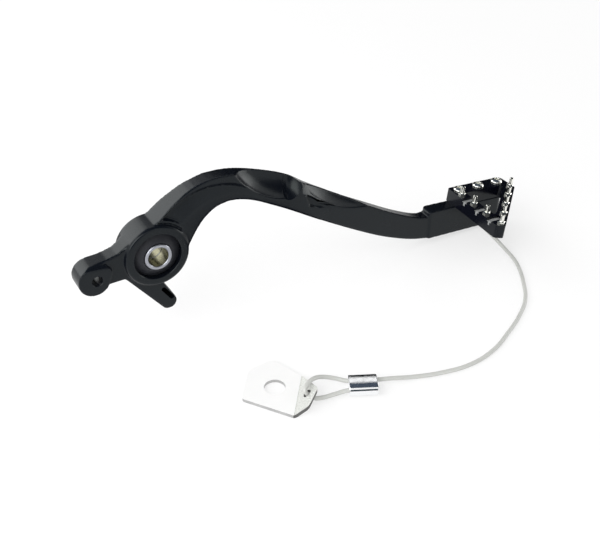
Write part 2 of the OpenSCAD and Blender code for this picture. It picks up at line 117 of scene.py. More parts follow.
def spread(tree, value, low, high, fromLow=0.3, fromHigh=0.7):
    # most noise lies between 0.3 and 0.7
    return addNode(
        tree, "ShaderNodeMapRange",
        {"Value": value, "From Min": fromLow, "From Max": fromHigh, "To Min": low, "To Max": high},
    ).outputs["Result"]


def blendColours(tree, fac, first, second):
    values = {0: fac, 6: (*first, 1), 7: (*second, 1)}
    return addNode(tree, "ShaderNodeMix", values, data_type="RGBA").outputs[2]


def roughen(tree, shader, height, distance, strength=0.5):
    values = {"Height": height, "Distance": distance, "Strength": strength}
    bump = addNode(tree, "ShaderNodeBump", values)
    tree.links.new(bump.outputs["Normal"], shader.inputs["Normal"])


def makePiece(name, bm, body, material, stands, angle=35):
    bmesh.ops.recalc_face_normals(bm, faces=bm.faces)
    mesh = bpy.data.meshes.new(name)
    bm.to_mesh(mesh)
    bm.free()
    piece = bpy.data.objects.new(name, mesh)
    scene.collection.objects.link(piece)
    mesh.materials.append(material)
    smoothShade(mesh, angle)
    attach(piece, body)
    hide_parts(*stands)
    return piece


def smoothShade(mesh, angle):
    mesh.polygons.foreach_set("use_smooth", [True] * len(mesh.polygons))
    mesh.set_sharp_from_angle(angle=radians(angle))


def settle(piece, angle=None):
    # bakes the live modifiers into the mesh
    view = bpy.context.evaluated_depsgraph_get()
    baked = bpy.data.meshes.new_from_object(piece.evaluated_get(view))
    piece.modifiers.clear()
    old, piece.data = piece.data, baked
    bpy.data.meshes.remove(old)
    if angle:
        smoothShade(baked, angle)


def cutAway(piece, cutters, angle=35, lining=None, operation="DIFFERENCE"):
    # lining is the material of the faces that the cut leaves
    mesh = bpy.data.meshes.new("cutter")
    if lining:
        mesh.materials.append(lining)
    bmesh.ops.recalc_face_normals(cutters, faces=cutters.faces)
    cutters.to_mesh(mesh)
    cutters.free()
    tool = bpy.data.objects.new("cutter", mesh)
    scene.collection.objects.link(tool)
    cut = piece.modifiers.new("cut", "BOOLEAN")
    cut.operation, cut.solver, cut.object = operation, "EXACT", tool
    cut.material_mode = "TRANSFER" if lining else "INDEX"
    settle(piece, angle)
    bpy.data.objects.remove(tool)


def roundEdges(piece, width, segments=2, limit=40):
    edge = piece.modifiers.new("edge", "BEVEL")
    edge.width, edge.segments, edge.profile = width, segments, 0.5
    edge.limit_method, edge.angle_limit = "ANGLE", radians(limit)
    edge.use_clamp_overlap, edge.harden_normals = True, True
    settle(piece)


def repaint(piece, material, chosen):
    # gives another material to the faces that chosen(centre, normal) picks
    piece.data.materials.append(material)
    last = len(piece.data.materials) - 1
    for face in piece.data.polygons:
        if chosen(face.center, face.normal):
            face.material_index = last


def turned(bm, profile, turn, steps):
    # spins a closed profile of [radius, height] in mm about Z, then places it
    ring = [bm.verts.new((r * mm, 0, h * mm)) for r, h in profile]
    edges = [bm.edges.new((a, b)) for a, b in zip(ring, ring[1:] + ring[:1])]
    bmesh.ops.spin(
        bm, geom=ring + edges, cent=(0, 0, 0), axis=(0, 0, 1),
        angle=2 * pi, steps=steps, use_merge=True,
    )
    placeLoose(bm, turn)


def placeLoose(bm, turn):
    # moves whatever this bmesh has gained since the last call
    fresh = [v for v in bm.verts if not v.tag]
    bmesh.ops.transform(bm, matrix=turn, verts=fresh)
    for v in fresh:
        v.tag = True


def prism(bm, outline, low, high, turn):
    # stands an outline in X and Y up from low to high, in mm, then places it
    base = bm.faces.new([bm.verts.new((x * mm, y * mm, low * mm)) for x, y in outline])
    grown = bmesh.ops.extrude_face_region(bm, geom=[base])["geom"]
    top = [g for g in grown if isinstance(g, bmesh.types.BMVert)]
    bmesh.ops.translate(bm, vec=(0, 0, (high - low) * mm), verts=top)
    placeLoose(bm, turn)


def rod(bm, radius, low, high, turn, sides=48, topRadius=None):
    bmesh.ops.create_cone(
        bm, cap_ends=True, segments=sides, radius1=radius * mm,
        radius2=(radius if topRadius is None else topRadius) * mm, depth=(high - low) * mm,
        matrix=Matrix.Translation((0, 0, (low + high) / 2 * mm)),
    )
    placeLoose(bm, turn)


def corners(points, steps=5):
    # rounds each corner of [x, y, radius] into an arc
    outline = []
    for i, (x, y, r) in enumerate(points):
        here = Vector((x, y))
        back = (Vector(points[i - 1][:2]) - here).normalized()
        ahead = (Vector(points[(i + 1) % len(points)][:2]) - here).normalized()
        half = back.angle(ahead) / 2
        centre = here + (back + ahead).normalized() * r / sin(half)
        start = here + back * r * cos(half) / sin(half) - centre
        sweep = (pi - 2 * half) * (1 if back.cross(ahead) < 0 else -1)
        for k in range(steps + 1):
            a = sweep * k / steps
            outline.append((
                centre.x + start.x * cos(a) - start.y * sin(a),
                centre.y + start.x * sin(a) + start.y * cos(a),
            ))
    return outline


alongPivot = Matrix.Rotation(-pi / 2, 4, "X")  # takes +Z to +Y


# tether cable: covered wire rope, from the swaged stop to the crimped loop
tether = {
    "route": [  # mm, the same points as in the CAD source
        (225, 7, -44.5), (225, -2, -44.5), (225, -9, -44.6), (225.6, -16, -45.6),
        (227.6, -24, -48.6), (230, -33, -52.8), (231.2, -42, -56.3), (230, -51.5, -57.6),
        (226, -61, -57.75), (218, -74, -57.75), (207, -88, -57.75),
        (193, -98.4, -57.75), (176, -107.6, -57.75), (158, -115.4, -57.75),
        (139, -118.4, -57.75), (120, -115.6, -57.75), (103, -110.4, -57.2),
        (93, -107.6, -55.6), (84, -104.3, -55.1), (69.4, -97, -55.1),
        (64.5, -92.2, -54.7), (59, -89.3, -53.4), (52.6, -90, -50.8),
        (46.6, -92.8, -49.7), (43.2, -95.2, -51), (44.3, -96.8, -53.6),
        (47, -98.6, -55.9), (51.5, -100, -56.6), (58, -101.6, -56),
        (65.4, -103.6, -55.1), (76, -108.9, -55.1),
    ],
    "diameter": 2.5,
}


def coverMaterial():
    material, tree, shader = newMaterial("cableCover")
    place = addNode(tree, "ShaderNodeTexCoord").outputs["Object"]
    stain = noiseOn(tree, place, 60, 3)
    colour = blendColours(tree, stain, (0.50, 0.51, 0.485), (0.58, 0.585, 0.56))
    tree.links.new(colour, shader.inputs["Base Color"])
    tree.links.new(spread(tree, noiseOn(tree, place, 300), 0.28, 0.42), shader.inputs["Roughness"])
    shader.inputs["Specular IOR Level"].default_value = 0.5
    return material


def makeTether(t):
    line = bpy.data.curves.new("tetherCable", "CURVE")
    line.dimensions = "3D"
    line.bevel_depth, line.bevel_resolution = t["diameter"] / 2 * mm, 5
    line.resolution_u, line.use_fill_caps = 8, True
    spline = line.splines.new("BEZIER")
    spline.bezier_points.add(len(t["route"]) - 1)
    for knot, place in zip(spline.bezier_points, t["route"]):
        knot.co = Vector(place) * mm
        knot.handle_left_type = knot.handle_right_type = "AUTO"
    piece = bpy.data.objects.new("tetherCable", line)
    scene.collection.objects.link(piece)
    line.materials.append(coverMaterial())
    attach(piece, "pedal")
    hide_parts("tether_cable")
    return piece, spline.calc_length()


cable, cableLength = makeTether(tether)
print("tether cable made, length %.3f m" % cableLength)


# forged arm: the CAD blank, softened as a forging, with its machined faces cut afresh
arm = {
    "voxel": 0.55,  # mm, how fine the forging's skin is
    "soften": 6,  # smoothing passes, which round its edges
    "weld": 0.000001,  # m, corners nearer than this are one
    "plug": {"hub": 0.5, "ear": 0.8, "rope": 0.6, "slot": 0.4, "deep": 0.5},  # mm of overlap
    "front": -8.02,  # mm, just before the blade's front face
    "clear": 6,  # mm, how far a drill may run out past a face
    "hub": {"face": 9.5, "recess": 14, "recessDepth": 4.5, "bore": 11.05},
    "ear": {"place": (-35.5, -4), "hole": 3, "front": -9, "back": 4},
    "slot": {
        "place": (4.3, -28.4), "angle": -57, "length": 8.4, "width": 2.6,
        "front": -6.5, "floor": 2.5,
    },
    "ropeHole": {"place": (225, -44.5), "radius": 1.65, "front": -8, "back": 2},
    # rounded end of the scoop
    "scoopEnd": {"place": (86.9, -14.7, 24.3), "turn": 9, "length": 9.3, "radius": 16},
    # start of the long facet and the pocket under it: x, z and how far behind the face
    "facet": [
        (93.3, 21, 7.1), (93.3, 11.6, 0), (95.8, 9.8, 0),
        (102.8, 4.8, 0), (107, 5, 2.7), (105, 14, 8.6),
    ],
    "pocket": [(93.8, 11, 0), (102.4, 1.6, 0), (106.3, 0, 1.9), (118, -5, 1.9), (99.6, 7.1, 1.9)],
    "pit": [(99.4, 7, 6.5), (104.6, 1.8, 6.5), (113, -1.5, 4)],
}


def anodisedMaterial(name, deep, pale, gloss):
    # black anodised alloy: a dark dye with a fine blasted grain under a thin oxide skin
    material, tree, shader = newMaterial(name)
    place = addNode(tree, "ShaderNodeTexCoord").outputs["Object"]
    cloud = noiseOn(tree, place, 28, 5)
    tree.links.new(blendColours(tree, cloud, deep, pale), shader.inputs["Base Color"])
    patch = noiseOn(tree, place, 90, 6)
    tree.links.new(spread(tree, patch, gloss, gloss + 0.07), shader.inputs["Roughness"])
    roughen(tree, shader, noiseOn(tree, place, 2400, 3), 0.000005)
    shader.inputs["IOR"].default_value = 1.32
    shader.inputs["Specular Tint"].default_value = (0.92, 1.0, 0.97, 1)
    return material


armBlack = anodisedMaterial(
    "armAnodised", (0.0028, 0.0038, 0.0062), (0.0046, 0.006, 0.0095), 0.21,
)


def besidePivot(place):
    # takes +Z to +Y at a place given in X and Z
    return Matrix.Translation((place[0] * mm, 0, place[1] * mm)) @ alongPivot


def slotPrism(bm, slot, low, high, spare=0.0):
    half, wide = slot["length"] / 2, slot["width"] / 2 + spare
    arc = [radians(d) for d in range(-90, 91, 15)]
    outline = [(half + wide * cos(t), wide * sin(t)) for t in arc]
    outline += [(-x, -y) for x, y in outline]
    x, z = slot["place"]
    turn = (
        Matrix.Translation((x * mm, 0, z * mm)) @ Matrix.Rotation(pi / 2, 4, "X")
        @ Matrix.Rotation(radians(slot["angle"]), 4, "Z")
    )
    prism(bm, outline, -high, -low, turn)


def chamferedBore(bm, r, front, back, clear, turn, steps, middle=(), chamfer=0.3):
    # a cutter for a bore with chamfered mouths, which stands clear of both faces
    wide = r + chamfer + clear
    turned(bm, [
        (0, front - clear), (wide, front - clear), (r + chamfer, front), (r, front + chamfer),
        *middle,
        (r, back - chamfer), (r + chamfer, back), (wide, back + clear), (0, back + clear),
    ], turn, steps)


def makeArm(a):
    hub, ear, slot, hole, plug = a["hub"], a["ear"], a["slot"], a["ropeHole"], a["plug"]
    bm = bmesh.new()
    bm.from_mesh(nodes["pedal_arm"].data)
    bmesh.ops.remove_doubles(bm, verts=bm.verts, dist=a["weld"])
    placeLoose(bm, Matrix())  # the CAD mesh stands where it is
    # plugs close the holes while the skin is softened
    rod(bm, hub["recess"] + plug["hub"], -hub["face"], hub["face"], alongPivot, 96)
    rod(bm, ear["hole"] + plug["ear"], ear["front"], ear["back"], besidePivot(ear["place"]))
    rod(bm, hole["radius"] + plug["rope"], hole["front"], hole["back"], besidePivot(hole["place"]))
    slotPrism(bm, slot, slot["front"], slot["floor"] + plug["deep"], plug["slot"])
    piece = makePiece("armForging", bm, "pedal", armBlack, ["pedal_arm"])
    skin = piece.modifiers.new("skin", "REMESH")
    skin.mode, skin.voxel_size, skin.use_smooth_shade = "VOXEL", a["voxel"] * mm, True
    soft = piece.modifiers.new("soft", "SMOOTH")
    soft.factor, soft.iterations = 0.5, a["soften"]
    settle(piece, 180)  # smooth all over
    return piece


def machineArm(piece, a):
    hub, ear, slot, hole, clear = a["hub"], a["ear"], a["slot"], a["ropeHole"], a["clear"]
    face, recess, bore = hub["face"], hub["recess"], hub["bore"]
    floor, outside = face - hub["recessDepth"], ear["front"] - clear / 2
    bm = bmesh.new()
    middle = [(recess, -floor), (bore, -floor), (bore, floor), (recess, floor)]
    chamferedBore(bm, recess, -face, face, clear / 3, alongPivot, 96, middle)
    chamferedBore(
        bm, ear["hole"], ear["front"], ear["back"], clear / 2, besidePivot(ear["place"]), 48,
    )
    rod(bm, hole["radius"], hole["front"] - clear, hole["back"] + clear, besidePivot(hole["place"]))
    slotPrism(bm, slot, outside, slot["floor"])
    cutAway(piece, bm, 40)
    end = a["scoopEnd"]
    bm = bmesh.new()
    bmesh.ops.create_uvsphere(bm, u_segments=96, v_segments=64, radius=end["radius"] * mm)
    tilt = Matrix.Rotation(radians(end["turn"]), 4, "Y")
    squash = Matrix.Diagonal((end["length"] / end["radius"], 1, 1, 1))
    placeLoose(bm, Matrix.Translation(Vector(end["place"]) * mm) @ tilt @ squash)
    cutAway(piece, bm, 40)
    for points in (a["facet"], a["pocket"], a["pit"]):
        bm = bmesh.new()
        for x, z, depth in points:
            bm.verts.new(Vector((x, outside, z)) * mm)
            bm.verts.new(Vector((x, depth + a["front"], z)) * mm)
        bmesh.ops.convex_hull(bm, input=bm.verts)
        cutAway(piece, bm, 30)


armPiece = makeArm(arm)
print("arm forged:", len(armPiece.data.polygons), "faces")
machineArm(armPiece, arm)
print("arm machined:", len(armPiece.data.polygons), "faces")


# tread frame: three bars round a window, in the tread's own plane
tread = {
    "place": (212.4, 2.8, -34.5),  # mm, inner corner of its underside
    "pitch": 5.5,
    "thickness": 9,
    "outline": [(0, 0, 1), (45.5, 0, 3.5), (45.5, 16.3, 2), (2.4, 56, 1.9), (-2.6, 53, 1.9)],
    "window": [
        (7.3, 10.3, 1), (37, 10.3, 1), (38.0, 12.9, 1), (10.2, 38.5, 1.5), (5.72, 41.5, 1),
    ],
    "notches": (19, 32.2, 45.4),  # mm along the outward bar
    "notch": {"width": 4.4, "depth": 1.5, "bar": 7.8},
    # down the outer wall, from each notch's floor
    "groove": {"radius": 0.8, "below": 2.2, "above": 0.6},
    "lean": -2.6 / 53,
    "edge": 0.35,
}
treadBlack = anodisedMaterial(
    "treadAnodised", (0.002, 0.003, 0.006), (0.004, 0.004, 0.008), 0.16,
)


def bareAlloyMaterial():
    # milled after the dye, so the alloy shows, with the cutter's fine lines
    material, tree, shader = newMaterial("bareAlloy")
    place = addNode(tree, "ShaderNodeTexCoord").outputs["Object"]
    stain = noiseOn(tree, place, 160, 4)
    colour = blendColours(tree, stain, (0.33, 0.34, 0.34), (0.43, 0.44, 0.44))
    tree.links.new(colour, shader.inputs["Base Color"])
    tree.links.new(spread(tree, stain, 0.38, 0.5), shader.inputs["Roughness"])
    roughen(tree, shader, noiseOn(tree, place, 2600, 2, (1, 0.05, 1)), 0.000004, 0.6)
    shader.inputs["Metallic"].default_value = 0.35
    return material


bareAlloy = bareAlloyMaterial()
pitch = Matrix.Rotation(radians(tread["pitch"]), 4, "Y")
mirror = Matrix.Diagonal((1, -1, 1, 1))
onTread = Matrix.Translation(Vector(tread["place"]) * mm) @ pitch @ mirror


def spotOnTread(u, v, w=0.0):
    # a turned piece stands here upright, not mirrored
    return Matrix.Translation(onTread @ (Vector((u, v, w)) * mm)) @ pitch


def makeTread(t):
    bm = bmesh.new()
    prism(bm, corners(t["outline"]), 0, t["thickness"], onTread)
    piece = makePiece("treadFrame", bm, "pedal", treadBlack, ["tread_frame"])
    cutters = bmesh.new()
    prism(cutters, corners(t["window"]), -1, t["thickness"] + 1, onTread)
    cutAway(piece, cutters)
    notch, groove, top = t["notch"], t["groove"], t["thickness"]
    low, half = top - notch["depth"], notch["width"] / 2
    notches, grooves = bmesh.new(), bmesh.new()
    for v in t["notches"]:
        u = t["lean"] * v
        near, far = u - 1, u + notch["bar"] + 2
        outline = [(near, v - half), (far, v - half), (far, v + half), (near, v + half)]
        prism(notches, outline, low, top + 1, onTread)
        foot, head = low - groove["below"], low + groove["above"]
        rod(grooves, groove["radius"], foot, head, spotOnTread(u, v), 24)
    cutAway(piece, notches)
    cutAway(piece, grooves, lining=bareAlloy)
    up = onTread.to_3x3() @ Vector((0, 0, 1))
    floor = (onTread @ Vector((0, 0, low * mm))) @ up

    def isNotchFloor(spot, normal):
        return normal @ up > 0.99 and abs(spot @ up - floor) < 0.1 * mm

    repaint(piece, bareAlloy, isNotchFloor)
    roundEdges(piece, t["edge"] * mm)


makeTread(tread)
print("tread frame made")


# tread screws and grip pins
screws = {
    "places": [(5.7, 5), (22.1, 5), (38.5, 5)],
    "head": 3.9, "height": 2.2, "socket": 1.45, "shank": 2,
}
pins = {
    "inset": 3.2, "start": (45.5, 16.3), "end": (2.4, 56),  # the slanted bar's ends
    "along": (11.6, 24.9, 38.2),  # mm along the outward bar
    "first": 0.4, "apart": 13.9, "count": 5,  # along the slanted bar
    "hexagon": 2.45, "hexHeight": 1.7, "hexTop": 1.9, "hexChamfer": 0.35,
    "post": 1.35, "height": 6.3, "bore": 0.8, "thread": 1.3,
}


def steelMaterial(name, colour, shade, gloss, lines=0.0, stretch=(0.04, 0.04, 1)):
    # bright steel: fine turned or drawn lines over a soft stain
    material, tree, shader = newMaterial(name)
    place = addNode(tree, "ShaderNodeTexCoord").outputs["Object"]
    stain = noiseOn(tree, place, 120, 5)
    tree.links.new(blendColours(tree, stain, colour, shade), shader.inputs["Base Color"])
    wear = noiseOn(tree, place, 420, 4)
    tree.links.new(spread(tree, wear, gloss, gloss + 0.1), shader.inputs["Roughness"])
    if lines:
        roughen(tree, shader, noiseOn(tree, place, 5200, 2, stretch), lines)
    shader.inputs["Metallic"].default_value = 1.0
    return material


screwSteel = steelMaterial("screwSteel", (0.80, 0.80, 0.75), (0.90, 0.90, 0.85), 0.16)
pinSteel = steelMaterial("pinSteel", (0.84, 0.84, 0.78), (0.93, 0.93, 0.87), 0.10)


def makeScrew(i, s, t):
    u, v = s["places"][i]
    top, r, h = t["thickness"], s["head"], s["height"]
    bm = bmesh.new()
    turned(bm, [
        (0, -10), (s["shank"] - 0.4, -10), (s["shank"], -9.6), (s["shank"], top),
        (r - 0.15, top), (r, top + 0.2), (r, top + 0.7), (r - 0.35, top + 1.3),
        (r - 1.1, top + 1.85), (r - 1.9, top + h), (r - 2.15, top + h - 0.05),
        (r - 2.25, top + h - 0.35), (0, top + h - 0.45),
    ], spotOnTread(u, v), steps=48)
    number = i + 1
    piece = makePiece(
        "treadScrew%d" % number, bm, "pedal", screwSteel, ["tread_screw_%d" % number],
    )
    socket = bmesh.new()
    rod(socket, s["socket"], top + h - 1.5, top + h + 1, spotOnTread(u, v), 6)
    cutAway(piece, socket, 30)


def pinSpots(p, t):
    start, end = Vector(p["start"]), Vector(p["end"])
    run = (end - start).normalized()
    inward = Vector((-run.y, run.x))
    outward = [Vector((t["lean"] * v + p["inset"] + 0.1, v)) for v in p["along"]]
    slanted = [start + run * (p["first"] + p["apart"] * k) for k in range(p["count"])]
    return outward + [spot + inward * p["inset"] for spot in slanted]


def makePin(i, spot, p, t):
    top, post, high = t["thickness"], p["post"], p["height"]
    bm = bmesh.new()
    turned(bm, [
        (0, top - 5), (p["thread"], top - 5), (p["thread"], top + 0.2), (post, top + 0.2),
        (post, top + high - 0.25), (post - 0.2, top + high), (p["bore"] + 0.12, top + high),
        (p["bore"], top + high - 0.12), (p["bore"], top + high - 2.2), (0, top + high - 2.5),
    ], spotOnTread(*spot), steps=24)
    shoulder, crown = top + p["hexHeight"] - p["hexChamfer"], top + p["hexHeight"]
    rod(bm, p["hexagon"], top, shoulder, spotOnTread(*spot), 6)
    rod(bm, p["hexagon"], shoulder, crown, spotOnTread(*spot), 6, p["hexTop"])
    number = i + 1
    makePiece(
        "gripPin%d" % number, bm, "pedal", pinSteel, ["grip_pin_%d" % number], 30,
    )


for i in range(3):
    makeScrew(i, screws, tread)
for i, spot in enumerate(pinSpots(pins, tread)):
    makePin(i, spot, pins, tread)
print("screws and pins made")


# pivot: sleeves, seals and needle bearing, all turned about the pivot
pivot = {
    "bore": 6, "sleeve": 8, "end": 9.9, "chamfer": 0.35,
    "meet": 0.02,  # mm from the middle, where each sleeve starts
    "seal": {"outer": 13.95, "lip": 8.3, "inner": 5.05, "face": 9.5, "sink": 3.7},
}
sleeveSteel = steelMaterial("sleeveSteel", (0.35, 0.36, 0.40), (0.41, 0.42, 0.46), 0.3, 0.000003)
# darker brownish steel for the sleeve's bore: painted shade inside the bore
shadedBore = steelMaterial("shadedBore", (0.14, 0.135, 0.085), (0.21, 0.20, 0.14), 0.24)
bearingSteel = steelMaterial("bearingSteel", (0.42, 0.42, 0.40), (0.52, 0.52, 0.50), 0.3)


def rubberMaterial():
    material, tree, shader = newMaterial("sealRubber")
    place = addNode(tree, "ShaderNodeTexCoord").outputs["Object"]
    dust = noiseOn(tree, place, 240, 6)
    colour = blendColours(tree, dust, (0.012, 0.013, 0.017), (0.022, 0.023, 0.028))
    tree.links.new(colour, shader.inputs["Base Color"])
    tree.links.new(spread(tree, dust, 0.4, 0.55), shader.inputs["Roughness"])
    roughen(tree, shader, noiseOn(tree, place, 1500, 3), 0.00001)
    shader.inputs["Specular IOR Level"].default_value = 0.25
    return material


sealRubber = rubberMaterial()


def makeSleeve(side, name, stands, p):
    inside, outside, c, meet, end = p["bore"], p["sleeve"], p["chamfer"], p["meet"], p["end"]
    bm = bmesh.new()
    turned(bm, [
        (inside, meet + c), (inside + c, meet), (outside - c, meet), (outside, meet + c),
        (outside, end - c), (outside - c, end), (inside + c, end), (inside, end - c),
    ], Matrix.Rotation(pi if side < 0 else 0, 4, "X") @ alongPivot, steps=96)
    piece = makePiece(name, bm, "sleeves", sleeveSteel, [stands])
    # the faces inside the bore get the darker steel, as painted shade inside the bore
    repaint(piece, shadedBore, lambda spot, normal: hypot(spot.x, spot.z) < (inside + 0.1) * mm)


def makeSeal(side, name, stands, p):
    # dished: low at its rim and raised to the lip that wipes the sleeve
    s = p["seal"]
    outer, lip, inner, top = s["outer"], s["lip"], s["inner"], s["face"]
    rim = top - s["sink"]
    bm = bmesh.new()
    turned(bm, [
        (outer, inner), (outer, rim + 0.1), (outer - 0.5, rim + 0.35),
        (lip + 3.2, top - 2.1), (lip + 1.5, top - 0.95), (lip + 0.9, top - 0.55),
        (lip + 0.5, top - 0.35), (lip, top - 0.5), (lip, top - 1.4), (lip + 1, inner),
    ], Matrix.Rotation(pi if side < 0 else 0, 4, "X") @ alongPivot, steps=96)
    makePiece(name, bm, "pedal", sealRubber, [stands])


makeSleeve(-1, "pivotSleeveOuter", "pivot_sleeve_outer", pivot)
makeSleeve(1, "pivotSleeveInner", "pivot_sleeve_inner", pivot)
makeSeal(-1, "lipSealOuter", "lip_seal_outer", pivot)
makeSeal(1, "lipSealInner", "lip_seal_inner", pivot)
for name in ("bearing_cup", "bearing_needles"):
    for held in nodes[name].material_slots:
        held.material = bearingSteel
print("pivot made")


# swaged stop behind the arm, crimped ferrule and bent bracket
stop = {"place": (225, 2, -44.5), "radius": 3.05, "length": 6, "bore": 1.27}
ferrule = {
    "place": (75, -104, -55.1), "turn": -26.5, "length": 16, "width": 13.6, "height": 7.8,
    "apart": 7.8, "bore": 1.27, "edge": 0.5,
}
bracket = {
    "place": (31.6, -103.2, -59), "turn": -38, "thick": 2, "bend": 1.5, "angle": 40,
    "outline": [
        (0, -0.5, 2), (-29.5, 8.5, 2), (-30, 32, 9), (-18, 42.5, 5),
        (1, 30.5, 3), (11.4, 13, 4), (8, 1.5, 3),
    ],
    "boltHole": (-13.3, 20, 6), "eye": (6, 12.9, 2.5), "edge": 0.25,
    # mm of sheet before the trim: behind and beyond the bend, along it and over it
    "behind": 50, "beyond": 20, "across": (-60, 10), "over": (-1, 30),
    "bendSteps": 8,
}
ferruleSteel = steelMaterial("ferruleNickel", (0.90, 0.91, 0.92), (0.95, 0.96, 0.97), 0.06)
plateSteel = steelMaterial(
    "plateSteel", (0.90, 0.90, 0.895), (0.935, 0.935, 0.93), 0.4, 0.000003, (1, 0.04, 1),
)
plateSteel.node_tree.nodes["Principled BSDF"].inputs["Metallic"].default_value = 0.05
shearedEdge = steelMaterial(
    "shearedEdge", (0.45, 0.45, 0.45), (0.65, 0.65, 0.64), 0.45, 0.000006,
)
# near black steel for the cut edges on the outward side: painted shade on edges that face away from
# the lamps
shadedCutEdge = steelMaterial("shadedCutEdge", (0.10, 0.10, 0.10), (0.26, 0.26, 0.25), 0.5, 0.000012)


def shadedBendMaterial():
    # the bend and the tongue's upper face are painted darker than the flat plate, as painted shade
    # on the tilted faces, over a fine mottle
    material, tree, shader = newMaterial("shadedBendSteel")
    place = addNode(tree, "ShaderNodeTexCoord").outputs["Object"]
    mottle = noiseOn(tree, place, 1500, 5)
    shade = spread(tree, mottle, 0.0, 1.0, 0.4, 0.62)
    colour = blendColours(tree, shade, (0.50, 0.51, 0.48), (0.72, 0.73, 0.70))
    tree.links.new(colour, shader.inputs["Base Color"])
    tree.links.new(spread(tree, mottle, 0.32, 0.5), shader.inputs["Roughness"])
    roughen(tree, shader, mottle, 0.000012)
    shader.inputs["Metallic"].default_value = 0.1
    return material


shadedBendSteel = shadedBendMaterial()


def makeStop(s):
    bm = bmesh.new()
    r, n, b = s["radius"], s["length"], s["bore"]
    turned(bm, [
        (b, 0), (r, 0), (r, n - 0.8), (r - 0.25, n - 0.35), (r - 0.8, n), (b, n),
    ], Matrix.Translation(Vector(s["place"]) * mm) @ alongPivot, steps=48)
    makePiece("cableStop", bm, "pedal", ferruleSteel, ["cable_stop"])


def makeFerrule(f):
    bm = bmesh.new()
    side, flat = f["height"] / 2, (f["width"] - f["height"]) / 2
    arc = [radians(d) for d in range(0, 181, 10)]
    half = [(side * cos(t), flat + side * sin(t)) for t in arc]
    outline = half + [(-x, -y) for x, y in half]
    turn = (
        Matrix.Translation(Vector(f["place"]) * mm) @ Matrix.Rotation(radians(f["turn"]), 4, "Z")
        @ Matrix.Rotation(pi / 2, 4, "Y")
    )
    prism(bm, outline, -f["length"] / 2, f["length"] / 2, turn)
    piece = makePiece(
        "tetherFerrule", bm, "pedal", ferruleSteel, ["tether_ferrule"],
    )
    cutters = bmesh.new()
    for away in (-f["apart"] / 2, f["apart"] / 2):
        aside = turn @ Matrix.Translation((0, away * mm, 0))
        rod(cutters, f["bore"], -f["length"], f["length"], aside, 32)
    cutAway(piece, cutters)
    roundEdges(piece, f["edge"] * mm, segments=3, limit=50)
    return piece


def makeBracket(b):
    # cross-section of the sheet in X and Z, pushed along Y, then trimmed to the outline
    thick, bend, angle = b["thick"], b["bend"], radians(b["angle"])
    rise = bend + thick
    steps = [angle * k / b["bendSteps"] for k in range(b["bendSteps"] + 1)]
    outer = [(rise * sin(a), rise - rise * cos(a)) for a in steps]
    inner = [(bend * sin(a), rise - bend * cos(a)) for a in steps]
    along = Vector((cos(angle), sin(angle))) * b["beyond"]
    tips = [tuple(Vector(side[-1]) + along) for side in (outer, inner)]
    section = [(-b["behind"], 0), *outer, *tips, *inner[::-1], (-b["behind"], thick)]
    turn = Matrix.Translation(Vector(b["place"]) * mm) @ Matrix.Rotation(radians(b["turn"]), 4, "Z")
    bm = bmesh.new()
    prism(bm, section, *b["across"], turn @ Matrix.Rotation(pi / 2, 4, "X"))
    piece = makePiece("tetherBracket", bm, "bracket", plateSteel, ["tether_bracket"])
    blank = bmesh.new()
    prism(blank, corners(b["outline"]), *b["over"], turn)
    cutAway(piece, blank, operation="INTERSECT")
    cutters = bmesh.new()
    x, y, r = b["boltHole"]
    rod(cutters, r, -5, 15, turn @ Matrix.Translation((x * mm, y * mm, 0)), 72)
    x, y, r = b["eye"]
    tongue = Matrix.Translation((0, y * mm, rise * mm)) @ Matrix.Rotation(-angle, 4, "Y")
    inEye = tongue @ Matrix.Translation((x * mm, 0, -(bend + thick / 2) * mm))
    rod(cutters, r, -2 * thick, 2 * thick, turn @ inEye, 40)
    cutAway(piece, cutters)
    tongueUp = turn.to_3x3() @ Vector((-sin(angle), 0, cos(angle)))
    outward = turn.to_3x3() @ Vector((1, 0, 0))
    start = turn.translation @ outward

    def isCut(spot, normal):
        return abs(normal.z) < 0.7 and abs(normal @ tongueUp) < 0.7

    # cut edges on the outward side, which take the painted shade
    def isShadedCut(spot, normal):
        return isCut(spot, normal) and spot @ outward > start

    # the tilted faces of the bend and the tongue, which take the painted shade
    def isShadedBend(spot, normal):
        return 0.6 < normal.z < 0.995 and normal @ tongueUp > 0.75

    for material, chosen in ((shearedEdge, isCut), (shadedCutEdge, isShadedCut), (shadedBendSteel, isShadedBend)):
        repaint(piece, material, chosen)
    roundEdges(piece, b["edge"] * mm, limit=50)
    return piece


makeStop(stop)
ferrulePiece = makeFerrule(ferrule)
bracketPiece = makeBracket(bracket)
print("ferrule, stop and bracket made")


